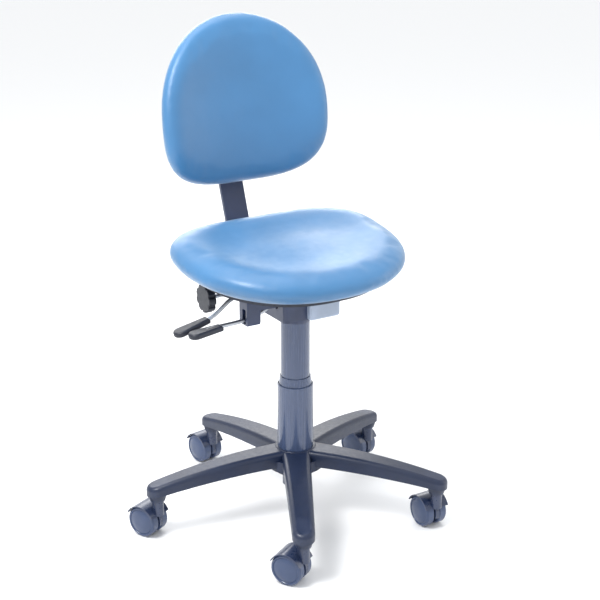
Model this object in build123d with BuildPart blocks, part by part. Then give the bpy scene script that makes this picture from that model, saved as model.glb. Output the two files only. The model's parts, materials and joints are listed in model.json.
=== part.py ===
from build123d import *

import os
from math import copysign, cos, pi, radians, sin, tan

# Dentist stool. Millimetres, +Z up, the origin on the floor under the column.
# The sitter faces -Y, so the back is at +Y and the levers are on the sitter's right at -X.

os.makedirs("parts", exist_ok=True)

# ---- base star ----
ARM_COUNT = 5
ARM_FIRST = 98.2             # heading of the first arm, degrees from +X
PIVOT_RADIUS = 279.0         # caster stem from the column axis
ARM_ROOT = 30.0              # inner end of an arm, inside the hub
ARM_END = 302.0
ARM_ROOT_WIDTH = 54.0
ARM_TIP_WIDTH = 41.0
CREST = ((ARM_ROOT, 143.0), (162.0, 132.0), (ARM_END, 104.0))
BELLY = ((ARM_ROOT, 113.0), (162.0, 105.0), (ARM_END, 86.0))
ARM_ROUND = 9.0
ARM_WALL = 4.5
ARM_SKIN = 5.0
POCKET_START = 64.0
POCKET_END = 252.0
RIB_RADII = (110.0, 160.0, 208.0)
RIB_THICKNESS = 4.0
POCKET_DROP = 20.0           # how far a pocket's cutter reaches below the arm
BOX_REACH = 120.0            # taller and wider than any arm, for cutting ribs out of pockets
HUB_RADIUS = 40.0
HUB_BOTTOM = 93.0
HUB_TOP = 144.0
HUB_ROUND = 2.5
GUSSET_RADIUS = 55.0
GUSSET_BOTTOM = 104.0
GUSSET_TOP = 126.0
BOSS_BOTTOM = 75.0
BOSS_FOOT_RADIUS = 14.0
BOSS_TAPER_TOP = 96.0
SOCKET_TOP = 100.0

# ---- casters ----
TRAIL = 25.0
CASTER_HEADINGS = (101.0, 116.0, 121.0, 90.0, 105.0)    # the way each caster trails at rest
STEM_RADIUS = 5.5
STEM_FIT = 0.08
STEM_CHAMFER = 1.2
SOCKET_RADIUS = 8.0
WHEEL_RADIUS = 30.5
WHEEL_INNER = 5.6
WHEEL_OUTER = 26.0
WHEEL_EDGE = 2.0             # bevel of the tread's inner edge
TREAD_EDGE = 7.0             # the tread starts to turn in this far from the outer face
TREAD_TURN = (1.6, 4.2)      # points of a wheel's outer side: in from the rim, back from the face
TREAD_LIP = (5.0, 3.0)
DISC_EDGE = (6.0, 4.2)
DISC_MIDDLE = (15.5, 1.0)
DISC_CAP = 5.0
AXLE_RADIUS = 4.0
AXLE_FIT = 0.08
AXLE_HALF = 22.0
AXLE_RECESS = 3.5            # depth of wheel left closed outside the axle's end
STEM_FOOT = 50.0
NECK_RADIUS = 11.0
NECK_TOP = 74.0
HOOD_SKIRT = 14.0            # the hood ends this far above the axle
HOOD_INNER = 31.2
HOOD_OUTER = 33.0
HOOD_HALF_WIDTH = 25.5
WEB_HALF = 4.4
WEB_BELOW = 8.0              # depth of the web below the axle

# ---- column and gas spring ----
TUBE_RADIUS = 25.0
TUBE_BORE = 22.0
TUBE_BOTTOM = 63.0
TUBE_TOP = 289.0
TUBE_FLOOR = 4.0
SLEEVE_RADIUS = 28.0
SLEEVE_SPAN = (94.0, 143.0)
CYLINDER_RADIUS = 14.0
CYLINDER_BORE = 11.0
CYLINDER_BOTTOM = 176.0
CYLINDER_TOP = 436.0
CYLINDER_CROWN = 12.0
ROD_RADIUS = 5.0
SLIDE_FIT = 0.06
ROD_BOTTOM = 57.0
ROD_TOP = 249.0
PISTON_HEIGHT = 10.0
BEARING_RADIUS = 12.0
BEARING_TOP = 73.0
COLLAR_RADIUS = 8.0
COLLAR_TOP = 75.0
COLLAR_GAP = 0.05
CLIP_Z = 60.5
CLIP_RADIUS = 9.0
CLIP_THICKNESS = 2.0
CLIP_GROOVE_RADIUS = 3.8
CLIP_PLAY = 0.2
CLIP_GAP = 4.0
CLIP_BACK = 2.0              # ring left behind the gap
WASHER_RADIUS = 13.0
WASHER_TOP = 84.0
WASHER_ROUND = 3.0
BUSH_BOTTOM = 211.0
BUSH_LIP = 2.0
GUIDE_HEIGHT = 20.0
COVER_LOWER = (34.6, 33.0, HUB_TOP, 274.0)      # outer radius, inner radius, bottom, top
COVER_MIDDLE = (31.8, 30.4, 197.0, 290.0)
COVER_MIDDLE_SHOULDER = 273.0
COVER_MIDDLE_LIP = (29.9, 28.7)                 # outer and inner radius at the top
COVER_UPPER = (28.0, 26.7, 243.0, 402.0)
COVER_BEVEL = 1.0
VALVE_RADIUS = 2.9
VALVE_BORE = 3.0
VALVE_HEAD = (5.0, 415.0, 418.0)                # radius, bottom, top
VALVE_TOP = 443.0
VALVE_ROUND = 1.0

# ---- mechanism ----
HOUSING_HALF = 46.0
HOUSING_WALL = 3.0
HOUSING_FRONT = -40.0
HOUSING_REAR = 62.0
HOUSING_BOTTOM = 413.0
HOUSING_TOP = 471.0
HOUSING_ROUND = 8.0
TAPER_BOTTOM = 402.0
TAPER_SMALL = 28.6
TAPER_LARGE = 31.0
SEAT_PIVOT = (-25.0, 458.0)     # y and z of the seat tilt shaft
BACK_PIVOT = (50.0, 439.0)      # y and z of the back pivot shaft
SHAFT_RADIUS = 5.0
SHAFT_PROUD = 1.5
CLUTCH_Y = 20.0
CLUTCH_Z = 458.0
CLUTCH_RADIUS = 4.0
CLUTCH_END = -92.5
CLUTCH_HEAD = (7.5, 5.3)        # across-corners radius and thickness
CLUTCH_PLAY = 0.4
PIN_RADIUS = 3.0
PIN_FIT = 0.06
BOX_X = (2.0, 70.0)
BOX_FRONT = -52.0
BOX_REAR = 8.0
BOX_HEIGHT = 40.0
BOX_ROUND = 9.0
BOX_EDGE = 5.0

# ---- levers ----
HEIGHT_LEVER_Y = -10.0
HEIGHT_PIVOT = (-30.0, 448.0)   # x and z
HEIGHT_PIN_END = -3.0
HEIGHT_ROD = ((-34.0, 448.0), (-56.0, 443.0), (-100.0, 427.0), (-135.0, 423.5), (-208.0, 417.0))
HEIGHT_EYE = 6.5
HEIGHT_GRIP = (-196.0, 418.0)   # x and z of the paddle's middle
HEIGHT_SLOPE = 5.3
HEIGHT_GRIP_LENGTH = 66.0
VALVE_FINGER = (36.0, 20.0, 4.0)
FINGER_LIFT = 3.0               # middle of the finger above the valve pin's top
TILT_LEVER_Y = 20.0
TILT_PIVOT = (-101.0, 458.0)
TILT_PIN = (2.0, 28.0)          # y range
TILT_PIN_HEAD = (5.0, 2.5)      # radius and thickness
TILT_ROD = ((-106.0, 460.0), (-128.0, 457.0), (-150.0, 441.0), (-172.0, 428.5), (-222.0, 416.0))
TILT_EYE = 8.0
TILT_GRIP = (-209.0, 420.0)
TILT_SLOPE = 14.0
TILT_GRIP_LENGTH = 72.0
LEVER_ROD_RADIUS = 4.0
EYE_HALF = 5.0
GRIP_WIDTH = 28.0
GRIP_DEPTH = 11.0
GRIP_NECK = 0.64                # narrow end over wide end
GRIP_ROUND = 0.36               # edge radius over depth
GRIP_FORWARD = 2.0
BLOCK_X = (-115.0, -88.0)       # the lever bracket's outer block
BLOCK_Y = (-24.0, 10.0)
BLOCK_Z = (414.0, 466.0)
BLOCK_ROUND = 8.0
BLOCK_EDGE = 3.0
BLOCK_SLOT = (432.0, 12.0, 28.0, 3.0)   # middle height, width, length and corner of the lever's slot
HOUSING_SLOT = (451.0, 12.0, 34.0)
STRAP_BOTTOM = 443.0
STRAP_THICKNESS = 4.0

# ---- seat ----
PLATE_BOTTOM = 477.0
PLATE_TOP = 481.0
PLATE_SIZE = (180.0, 208.0, 22.0)   # width, length, corner radius
PLATE_SLOT_ACROSS = (84.0, 18.0)
PLATE_SLOT_ALONG = (90.0, 16.0)
TAB_X = (-42.0, 39.0)               # inner ends of the plate's two side tabs
TAB_THICKNESS = 3.0
TAB_EYE = 7.0
TAB_CLUTCH = (463.0, 24.0, 32.0, 5.0)   # middle height, length, height and corner of the slotted lug
TAB_SLOT = (18.0, 0.8, -0.5)        # length, play round the bolt and shift in height
BOARD_BOTTOM = 485.0
BOARD_TOP = 498.0
SEAT_PITCH = 4.5                    # the cushion and the pan's rim fall towards the front, degrees
RIM_Z = 496.0                       # the rim's height over the origin
RIM_DEPTH = 6.5
# The cushion's sections: height above the rim, inset from the widest outline.
CUSHION_SECTIONS = ((0.0, 40.0), (14.0, 15.0), (33.0, 0.0), (47.0, 5.0), (56.0, 20.0), (59.0, 40.0))
# An outline: half width, reach towards -Y and +Y from the widest line, that line's Y, the power of
# the curve on each side of it, and how much the -Y side narrows.
SEAT_OUTLINE = (220.0, 213.0, 136.0, 32.0, 2.37, 3.0, 0.07)
OUTLINE_STEPS = 48
PAN_FOOT_INSET = 66.0
PAN_BOWL_INSET = 48.0
PAN_BOWL_TOP = 500.0
BOARD_INSET = 60.0
PLUG_TOP = 512.0                    # inside the cushion, above the board
SCREW_X = 68.0
SCREW_Y = 82.0
SCREW_RADIUS = 4.0
SCREW_HOLE = 4.25
SCREW_HEAD = (7.5, 5.0)             # across-corners radius and thickness
SCREW_LENGTH = 18.0

# ---- back ----
RECLINE = 5.0                # lean of the upper bar and of the back pad, degrees
BAR_WIDTH = 50.0
BAR_THICKNESS = 7.0
BAR_LEG_Z = 431.0
BAR_FRONT_END = 72.0
BAR_CORNER_Y = 184.0
BAR_KNEE = (249.0, 613.0)
BAR_END_Z = 846.0
BAR_BEND_RADIUS = 45.0
BAR_END_ROUND = 10.0
BAR_FIT = 0.1
BRACKET_Y = (66.0, 145.0)
BRACKET_HALF = 31.0
BRACKET_HALF_HEIGHT = 9.0
BRACKET_ROUND = 3.0
EAR_THICKNESS = 5.0
EAR_EYE = 11.0
EAR_ROOT = (62.0, 434.0, 24.0, 20.0)    # middle y and z, length and height
THREAD_BOSS = (10.0, 11.0)              # radius and length
KNOB_Y = 120.0
KNOB_RADIUS = 28.0
KNOB_DEPTH = 15.0
KNOB_X = -118.0
KNOB_LOBES = 9
STUD_RADIUS = 4.0
STUD_END = -124.0
STUD_GAP = 0.5                          # from the stud's tip to the bar
STUD_NUT = (-66.0, 8.5, 8.0)            # x, across-corners radius and thickness
LOBE_RADIUS = 5.0
LOBE_OUTSIDE = 2.2
KNOB_EDGE = 1.8
KNOB_NECK = (0.42, 7.0)                 # share of the knob's radius, length
BACK_CENTRE_Z = 782.0
BACK_OUTLINE = (176.0, 139.0, 186.0, -25.0, 3.2, 2.1, 0.0)
BACK_CURVE = 480.0           # radius of the back board's rear face, hollow side to the sitter
SLIDER_FRONT = 22.0          # from the bar's mid-plane to the board
SLIDER_REAR = 13.0
SLIDER_SIZE = (66.0, 88.0, 8.0)         # width, height, corner radius
SLIDER_FLANGE = (104.0, 88.0, 10.0)
FLANGE_DEPTH = 5.0
SLIDER_BOSS = (11.0, 8.0)               # radius and length
BACK_BOARD = 10.0
BOARD_DRAW = 14.0            # the back board is this much smaller than the pad all round
BACK_PAD = 40.0
BACK_PAD_ROUND = 15.0
BACK_SCREW = (3.0, 12.0)                # radius and length
BACK_SCREW_HEAD = (5.5, 4.0)
BACK_SCREW_GRID = (80.0, 64.0)
SHELL_REACH = (140.0, 200.0)            # more than the back's depth, and than half its height
HEIGHT_KNOB = (22.0, 13.0, 7)           # radius, depth, lobes
HEIGHT_KNOB_OUT = 30.0
HEIGHT_STUD = (-4.0, 28.0)              # start from the bar's mid-plane, length
PAST = 2.0                   # how far a cutter reaches past the face it opens


def save(builder, label):
    """Label a finished piece and write its STEP file."""
    builder.part.label = label
    export_step(builder.part, f"parts/{label}.step")


def outline_face(shape, inset=0.0):
    """A rounded outline of two unlike superellipse halves, drawn in all round by inset."""
    half_width, near, far, middle, near_power, far_power, narrowing = shape
    points = []
    for step in range(OUTLINE_STEPS):
        turn = 2 * pi * step / OUTLINE_STEPS
        across, along = cos(turn), sin(turn)
        power = far_power if along > 0 else near_power
        reach = (far if along > 0 else near) - inset
        y = copysign(abs(along) ** (2 / power), along)
        x = copysign(abs(across) ** (2 / power), across)
        x *= 1 - narrowing * max(0.0, -y)
        points.append(((half_width - inset) * x, middle + reach * y))
    with BuildSketch() as outline:
        with BuildLine():
            Spline(*points, periodic=True)
        make_face()
    return outline.sketch


def ring(outer, inner, bottom, top):
    """A plain tube about the column axis."""
    with BuildPart() as tube:
        with BuildSketch(Plane.XY.offset(bottom)):
            Circle(outer)
            Circle(inner, mode=Mode.SUBTRACT)
        extrude(amount=top - bottom)
    return tube.part


def cross_plane(x, y, z):
    """A plane across the stool, so that a sketch on it is extruded towards +X."""
    return Plane(origin=(x, y, z), x_dir=(0, 1, 0), z_dir=(1, 0, 0))


def fore_plane(x, y, z):
    """A plane that faces the rear, so that a sketch on it is extruded towards +Y."""
    return Plane(origin=(x, y, z), x_dir=(-1, 0, 0), z_dir=(0, 1, 0))


def middle(span):
    """The middle of a low and a high value."""
    return (span[0] + span[1]) / 2


# ---------------------------------------------------------------- base star
def arm_body(wall, skin, belly_drop):
    """An arm along +X, drawn in by wall at its sides and by skin at its top."""
    crest = [(r, z - skin) for r, z in CREST]
    belly = [(r, z - belly_drop) for r, z in BELLY]
    root_half = ARM_ROOT_WIDTH / 2 - wall
    tip_half = ARM_TIP_WIDTH / 2 - wall
    with BuildPart() as body:
        with BuildSketch(Plane.XZ):
            with BuildLine():
                ThreePointArc(*crest)
                Line(crest[2], belly[2])
                ThreePointArc(*belly)
                Line(belly[0], crest[0])
            make_face()
        extrude(amount=ARM_ROOT_WIDTH, both=True)
        with BuildSketch(Plane.XY):
            with BuildLine():
                Line((ARM_ROOT, -root_half), (PIVOT_RADIUS, -tip_half))
                ThreePointArc((PIVOT_RADIUS, -tip_half), (PIVOT_RADIUS + tip_half, 0),
                              (PIVOT_RADIUS, tip_half))
                Line((PIVOT_RADIUS, tip_half), (ARM_ROOT, root_half))
                Line((ARM_ROOT, root_half), (ARM_ROOT, -root_half))
            make_face()
        extrude(amount=HUB_TOP, mode=Mode.INTERSECT)
    return body.part


with BuildPart() as arm_pockets:
    add(arm_body(ARM_WALL, ARM_SKIN, POCKET_DROP))
    with Locations((ARM_ROOT, 0, HUB_BOTTOM)):
        Box(2 * (POCKET_START - ARM_ROOT), BOX_REACH, BOX_REACH, mode=Mode.SUBTRACT)
    with Locations((ARM_END, 0, HUB_BOTTOM)):
        Box(2 * (ARM_END - POCKET_END), BOX_REACH, BOX_REACH, mode=Mode.SUBTRACT)
    with Locations(*[(radius, 0, HUB_BOTTOM) for radius in RIB_RADII]):
        Box(RIB_THICKNESS, BOX_REACH, BOX_REACH, mode=Mode.SUBTRACT)

with BuildPart() as arm:
    add(arm_body(0.0, 0.0, 0.0))
    crest_edges = arm.faces().sort_by(Axis.Z)[-1].edges().sort_by(Axis.X)[1:]
    fillet(crest_edges, ARM_ROUND)
    add(arm_pockets.part, mode=Mode.SUBTRACT)
    with BuildSketch(Plane.XY.offset(BOSS_BOTTOM)):
        with Locations((PIVOT_RADIUS, 0)):
            Circle(BOSS_FOOT_RADIUS)
    with BuildSketch(Plane.XY.offset(BOSS_TAPER_TOP)):
        with Locations((PIVOT_RADIUS, 0)):
            Circle(ARM_TIP_WIDTH / 2)
    loft()

with BuildPart() as base_star:
    with BuildSketch(Plane.XY.offset(HUB_BOTTOM)):
        Circle(HUB_RADIUS)
    extrude(amount=HUB_TOP - HUB_BOTTOM)
    fillet(base_star.edges().group_by(Axis.Z)[-1], HUB_ROUND)
    with BuildSketch(Plane.XY.offset(GUSSET_BOTTOM)):
        Circle(GUSSET_RADIUS)
    extrude(amount=GUSSET_TOP - GUSSET_BOTTOM)
    with PolarLocations(0, ARM_COUNT, start_angle=ARM_FIRST):
        add(arm.part)
    with BuildSketch(Plane.XY.offset(TUBE_BOTTOM)):
        Circle(SLEEVE_RADIUS)
    extrude(amount=HUB_TOP, mode=Mode.SUBTRACT)
    with BuildSketch(Plane.XY.offset(BOSS_BOTTOM)):
        with PolarLocations(PIVOT_RADIUS, ARM_COUNT, start_angle=ARM_FIRST):
            Circle(SOCKET_RADIUS)
    extrude(amount=SOCKET_TOP - BOSS_BOTTOM, mode=Mode.SUBTRACT)
save(base_star, "base_star")

with BuildPart() as hub_taper_sleeve:
    add(ring(SLEEVE_RADIUS, TUBE_RADIUS, *SLEEVE_SPAN))
save(hub_taper_sleeve, "hub_taper_sleeve")

with BuildPart() as stem_sockets:
    with BuildSketch(Plane.XY.offset(BOSS_BOTTOM)):
        with PolarLocations(PIVOT_RADIUS, ARM_COUNT, start_angle=ARM_FIRST):
            Circle(SOCKET_RADIUS)
            Circle(STEM_RADIUS + STEM_FIT, mode=Mode.SUBTRACT)
    extrude(amount=SOCKET_TOP - BOSS_BOTTOM)
save(stem_sockets, "stem_sockets")

# ---------------------------------------------------------------- casters
with BuildPart() as hood:
    with BuildSketch(fore_plane(TRAIL, -HOOD_HALF_WIDTH, WHEEL_RADIUS)):
        Circle(HOOD_OUTER)
        Circle(HOOD_INNER, mode=Mode.SUBTRACT)
        with Locations((0, HOOD_SKIRT - HOOD_OUTER)):
            Rectangle(3 * HOOD_OUTER, 2 * HOOD_OUTER, mode=Mode.SUBTRACT)
    extrude(amount=2 * HOOD_HALF_WIDTH)
    with BuildSketch(fore_plane(TRAIL, -WEB_HALF, WHEEL_RADIUS)):
        Circle(HOOD_INNER + 1)
        with Locations((0, -HOOD_OUTER - WEB_BELOW)):
            Rectangle(3 * HOOD_OUTER, 2 * HOOD_OUTER, mode=Mode.SUBTRACT)
    extrude(amount=2 * WEB_HALF)
    neck_bottom = WHEEL_RADIUS + HOOD_SKIRT
    with BuildSketch(Plane.XY.offset(neck_bottom)):
        Circle(NECK_RADIUS)
    extrude(amount=NECK_TOP - neck_bottom)
    for start, reach in ((-WEB_HALF, -HOOD_HALF_WIDTH), (WEB_HALF, HOOD_HALF_WIDTH)):
        with BuildSketch(fore_plane(TRAIL, start, WHEEL_RADIUS)):
            Circle(HOOD_INNER)
        extrude(amount=reach, mode=Mode.SUBTRACT)
    with BuildSketch(Plane.XY.offset(STEM_FOOT)):
        Circle(STEM_RADIUS)
    extrude(amount=NECK_TOP - STEM_FOOT, mode=Mode.SUBTRACT)
    with BuildSketch(fore_plane(TRAIL, -WEB_HALF, WHEEL_RADIUS)):
        Circle(AXLE_RADIUS)
    extrude(amount=2 * WEB_HALF, mode=Mode.SUBTRACT)

with BuildPart() as pins:
    with BuildSketch(Plane.XY.offset(STEM_FOOT)):
        Circle(STEM_RADIUS)
    extrude(amount=SOCKET_TOP - 1 - STEM_FOOT)
    chamfer(pins.edges().group_by(Axis.Z)[-1], STEM_CHAMFER)
    with BuildSketch(fore_plane(TRAIL, -AXLE_HALF, WHEEL_RADIUS)):
        Circle(AXLE_RADIUS)
    extrude(amount=2 * AXLE_HALF)

def wheel_point(inward, back):
    """A point of a wheel's outer side, measured in from its rim and back from its outer face."""
    return (WHEEL_RADIUS - inward, WHEEL_OUTER - back)


# A wheel about its own Z axis, with its domed outer face upwards.
bore = AXLE_RADIUS + AXLE_FIT
with BuildPart() as wheel:
    with BuildSketch(Plane.XZ):
        with BuildLine():
            Polyline((bore, WHEEL_INNER), (WHEEL_RADIUS - WHEEL_EDGE, WHEEL_INNER),
                     (WHEEL_RADIUS, WHEEL_INNER + WHEEL_EDGE), wheel_point(0, TREAD_EDGE))
            ThreePointArc(wheel_point(0, TREAD_EDGE), wheel_point(*TREAD_TURN),
                          wheel_point(*TREAD_LIP))
            Line(wheel_point(*TREAD_LIP), wheel_point(*DISC_EDGE))
            ThreePointArc(wheel_point(*DISC_EDGE), wheel_point(*DISC_MIDDLE),
                          (DISC_CAP, WHEEL_OUTER))
            Polyline((DISC_CAP, WHEEL_OUTER), (0, WHEEL_OUTER), (0, WHEEL_OUTER - AXLE_RECESS),
                     (bore, WHEEL_OUTER - AXLE_RECESS), (bore, WHEEL_INNER))
        make_face()
    revolve(axis=Axis.Z)

caster_places = PolarLocations(PIVOT_RADIUS, ARM_COUNT, start_angle=ARM_FIRST, rotate=False)
for number, place in enumerate(caster_places.locations, start=1):
    pivot = place.position
    heading = CASTER_HEADINGS[number - 1]
    trail_dir = Vector(cos(radians(heading)), sin(radians(heading)), 0)
    axle_dir = Vector(-trail_dir.Y, trail_dir.X, 0)
    stance = Location((pivot.X, pivot.Y, 0), (0, 0, heading))
    wheel_centre = pivot + trail_dir * TRAIL + Vector(0, 0, WHEEL_RADIUS)
    with BuildPart() as caster_hood:
        with Locations(stance):
            add(hood.part)
    save(caster_hood, f"caster_{number}_hood")
    with BuildPart() as caster_pins:
        with Locations(stance):
            add(pins.part)
    save(caster_pins, f"caster_{number}_pins")
    for side, facing in (("left", axle_dir), ("right", -axle_dir)):
        with BuildPart() as caster_wheel:
            with Locations(Plane(origin=wheel_centre, x_dir=trail_dir, z_dir=facing)):
                add(wheel.part)
        save(caster_wheel, f"caster_{number}_wheel_{side}")

# ---------------------------------------------------------------- column
with BuildPart() as column_tube:
    add(ring(TUBE_RADIUS, TUBE_BORE, TUBE_BOTTOM, TUBE_TOP))
    add(ring(TUBE_RADIUS, ROD_RADIUS + SLIDE_FIT, TUBE_BOTTOM, TUBE_BOTTOM + TUBE_FLOOR))
save(column_tube, "column_tube")

with BuildPart() as guide_bush:
    add(ring(TUBE_BORE, CYLINDER_RADIUS + SLIDE_FIT, BUSH_BOTTOM, TUBE_TOP))
    add(ring(TUBE_RADIUS, CYLINDER_RADIUS + SLIDE_FIT, TUBE_TOP, TUBE_TOP + BUSH_LIP))
save(guide_bush, "guide_bush")

with BuildPart() as thrust_bearing:
    add(ring(BEARING_RADIUS, ROD_RADIUS + SLIDE_FIT, TUBE_BOTTOM + TUBE_FLOOR, BEARING_TOP))
save(thrust_bearing, "thrust_bearing")

with BuildPart() as rod_clip:
    add(ring(CLIP_RADIUS, CLIP_GROOVE_RADIUS + SLIDE_FIT, CLIP_Z, CLIP_Z + CLIP_THICKNESS))
    with Locations((CLIP_RADIUS, 0, CLIP_Z)):
        Box(2 * (CLIP_RADIUS - CLIP_BACK), CLIP_GAP, 3 * CLIP_THICKNESS, mode=Mode.SUBTRACT)
save(rod_clip, "rod_clip")

with BuildPart() as bump_washer:
    add(ring(WASHER_RADIUS, ROD_RADIUS, COLLAR_TOP, WASHER_TOP))
    fillet(bump_washer.edges().group_by(Axis.Z)[-1].sort_by(SortBy.LENGTH)[-1], WASHER_ROUND)
save(bump_washer, "bump_washer")

with BuildPart() as piston_rod:
    with BuildSketch(Plane.XZ):
        with BuildLine():
            Polyline((0, ROD_BOTTOM), (ROD_RADIUS, ROD_BOTTOM),
                     (ROD_RADIUS, CLIP_Z - CLIP_PLAY), (CLIP_GROOVE_RADIUS, CLIP_Z - CLIP_PLAY),
                     (CLIP_GROOVE_RADIUS, CLIP_Z + CLIP_THICKNESS + CLIP_PLAY),
                     (ROD_RADIUS, CLIP_Z + CLIP_THICKNESS + CLIP_PLAY),
                     (ROD_RADIUS, BEARING_TOP + COLLAR_GAP),
                     (COLLAR_RADIUS, BEARING_TOP + COLLAR_GAP), (COLLAR_RADIUS, COLLAR_TOP),
                     (ROD_RADIUS, COLLAR_TOP), (ROD_RADIUS, ROD_TOP),
                     (CYLINDER_BORE - SLIDE_FIT, ROD_TOP),
                     (CYLINDER_BORE - SLIDE_FIT, ROD_TOP + PISTON_HEIGHT),
                     (0, ROD_TOP + PISTON_HEIGHT), (0, ROD_BOTTOM))
        make_face()
    revolve(axis=Axis.Z)
save(piston_rod, "piston_rod")

with BuildPart() as cover_lower:
    add(ring(*COVER_LOWER))
    rim_edge = cover_lower.edges().group_by(Axis.Z)[-1].sort_by(SortBy.LENGTH)[-1]
    chamfer(rim_edge, COVER_BEVEL)
save(cover_lower, "cover_lower")

with BuildPart() as cover_middle:
    outer, inner, bottom, top = COVER_MIDDLE
    lip_outer, lip_inner = COVER_MIDDLE_LIP
    with BuildSketch(Plane.XZ):
        with BuildLine():
            Polyline((inner, bottom), (outer, bottom), (outer, COVER_MIDDLE_SHOULDER),
                     (lip_outer, top), (lip_inner, top), (inner, COVER_MIDDLE_SHOULDER),
                     (inner, bottom))
        make_face()
    revolve(axis=Axis.Z)
save(cover_middle, "cover_middle")

with BuildPart() as cover_upper:
    add(ring(*COVER_UPPER))
save(cover_upper, "cover_upper")

with BuildPart() as gas_cylinder:
    add(ring(CYLINDER_RADIUS, CYLINDER_BORE, CYLINDER_BOTTOM, CYLINDER_TOP))
    add(ring(CYLINDER_RADIUS, VALVE_BORE, CYLINDER_TOP - CYLINDER_CROWN, CYLINDER_TOP))
save(gas_cylinder, "gas_cylinder")

with BuildPart() as rod_guide:
    add(ring(CYLINDER_BORE, ROD_RADIUS + SLIDE_FIT, CYLINDER_BOTTOM,
             CYLINDER_BOTTOM + GUIDE_HEIGHT))
save(rod_guide, "rod_guide")

with BuildPart() as valve_pin:
    head_radius, head_bottom, head_top = VALVE_HEAD
    with BuildSketch(Plane.XY.offset(head_bottom)):
        Circle(head_radius)
    extrude(amount=head_top - head_bottom)
    with BuildSketch(Plane.XY.offset(head_top)):
        Circle(VALVE_RADIUS)
    extrude(amount=VALVE_TOP - head_top)
    fillet(valve_pin.edges().group_by(Axis.Z)[-1], VALVE_ROUND)
save(valve_pin, "valve_pin")

# ---------------------------------------------------------------- mechanism
with BuildPart() as pivot_shafts:
    for y, z in (SEAT_PIVOT, BACK_PIVOT):
        with BuildSketch(cross_plane(-HOUSING_HALF - SHAFT_PROUD, y, z)):
            Circle(SHAFT_RADIUS)
        extrude(amount=2 * (HOUSING_HALF + SHAFT_PROUD))
save(pivot_shafts, "pivot_shafts")

with BuildPart() as lever_pins:
    with BuildSketch(fore_plane(HEIGHT_PIVOT[0], HOUSING_FRONT, HEIGHT_PIVOT[1])):
        Circle(PIN_RADIUS)
    extrude(amount=HEIGHT_PIN_END - HOUSING_FRONT)
    with BuildSketch(fore_plane(TILT_PIVOT[0], TILT_PIN[0], TILT_PIVOT[1])):
        Circle(PIN_RADIUS)
    extrude(amount=TILT_PIN[1] - TILT_PIN[0])
    head_radius, head_thickness = TILT_PIN_HEAD
    with BuildSketch(fore_plane(TILT_PIVOT[0], TILT_PIN[1] - head_thickness, TILT_PIVOT[1])):
        Circle(head_radius)
    extrude(amount=head_thickness)
save(lever_pins, "lever_pins")

with BuildPart() as mechanism_housing:
    length = HOUSING_REAR - HOUSING_FRONT
    with BuildSketch(Plane.XY.offset(HOUSING_BOTTOM)):
        with Locations((0, HOUSING_FRONT + length / 2)):
            Rectangle(2 * HOUSING_HALF, length)
    extrude(amount=HOUSING_TOP - HOUSING_BOTTOM)
    front = mechanism_housing.edges().filter_by(Axis.Z).group_by(Axis.Y)[0]
    fillet(front, HOUSING_ROUND)
    with BuildSketch(Plane.XY.offset(HOUSING_BOTTOM + HOUSING_WALL)):
        with Locations((0, HOUSING_FRONT + HOUSING_WALL + length / 2)):
            Rectangle(2 * (HOUSING_HALF - HOUSING_WALL), length)
    extrude(amount=HOUSING_TOP, mode=Mode.SUBTRACT)
    with BuildSketch(Plane.XY.offset(HOUSING_BOTTOM)):
        Circle(CYLINDER_RADIUS)
    extrude(amount=HOUSING_WALL, mode=Mode.SUBTRACT)
    with BuildSketch(cross_plane(-HOUSING_HALF, CLUTCH_Y, CLUTCH_Z)):
        Circle(CLUTCH_RADIUS + SLIDE_FIT)
    extrude(amount=2 * HOUSING_HALF, mode=Mode.SUBTRACT)
    slot_z, slot_width, slot_length = HOUSING_SLOT
    with BuildSketch(cross_plane(-HOUSING_HALF, HEIGHT_LEVER_Y, slot_z)):
        SlotOverall(slot_length, slot_width, rotation=90)
    extrude(amount=HOUSING_WALL, mode=Mode.SUBTRACT)
    add(pivot_shafts.part, mode=Mode.SUBTRACT)
    add(lever_pins.part, mode=Mode.SUBTRACT)
save(mechanism_housing, "mechanism_housing")

with BuildPart() as taper_socket:
    with BuildSketch(Plane.XY.offset(TAPER_BOTTOM)):
        Circle(TAPER_SMALL)
    with BuildSketch(Plane.XY.offset(HOUSING_BOTTOM)):
        Circle(TAPER_LARGE)
    loft()
    with BuildSketch(Plane.XY.offset(TAPER_BOTTOM)):
        Circle(CYLINDER_RADIUS)
    extrude(amount=HOUSING_BOTTOM - TAPER_BOTTOM, mode=Mode.SUBTRACT)
save(taper_socket, "taper_socket")

# Cast box on the sitter's left: across half of the housing's front and down its left wall.
with BuildPart() as side_box:
    box_inner, box_outer = BOX_X
    with BuildSketch(Plane.XY.offset(HOUSING_BOTTOM)):
        with BuildLine():
            Polyline((box_inner, BOX_FRONT), (box_outer, BOX_FRONT), (box_outer, BOX_REAR),
                     (HOUSING_HALF, BOX_REAR), (HOUSING_HALF, HOUSING_FRONT),
                     (box_inner, HOUSING_FRONT), (box_inner, BOX_FRONT))
        make_face()
    extrude(amount=BOX_HEIGHT)
    upright = side_box.edges().filter_by(Axis.Z).sort_by(Axis.X)
    fillet(upright[-2:], BOX_ROUND)
    fillet(side_box.edges().filter_by(Axis.Z).sort_by(Axis.X)[0:1], BOX_EDGE)
    underside = side_box.faces().sort_by(Axis.Z)[0].edges()
    fillet(underside.sort_by(Axis.Y)[0:1], BOX_EDGE)
    add(pivot_shafts.part, mode=Mode.SUBTRACT)
save(side_box, "side_box")

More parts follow.
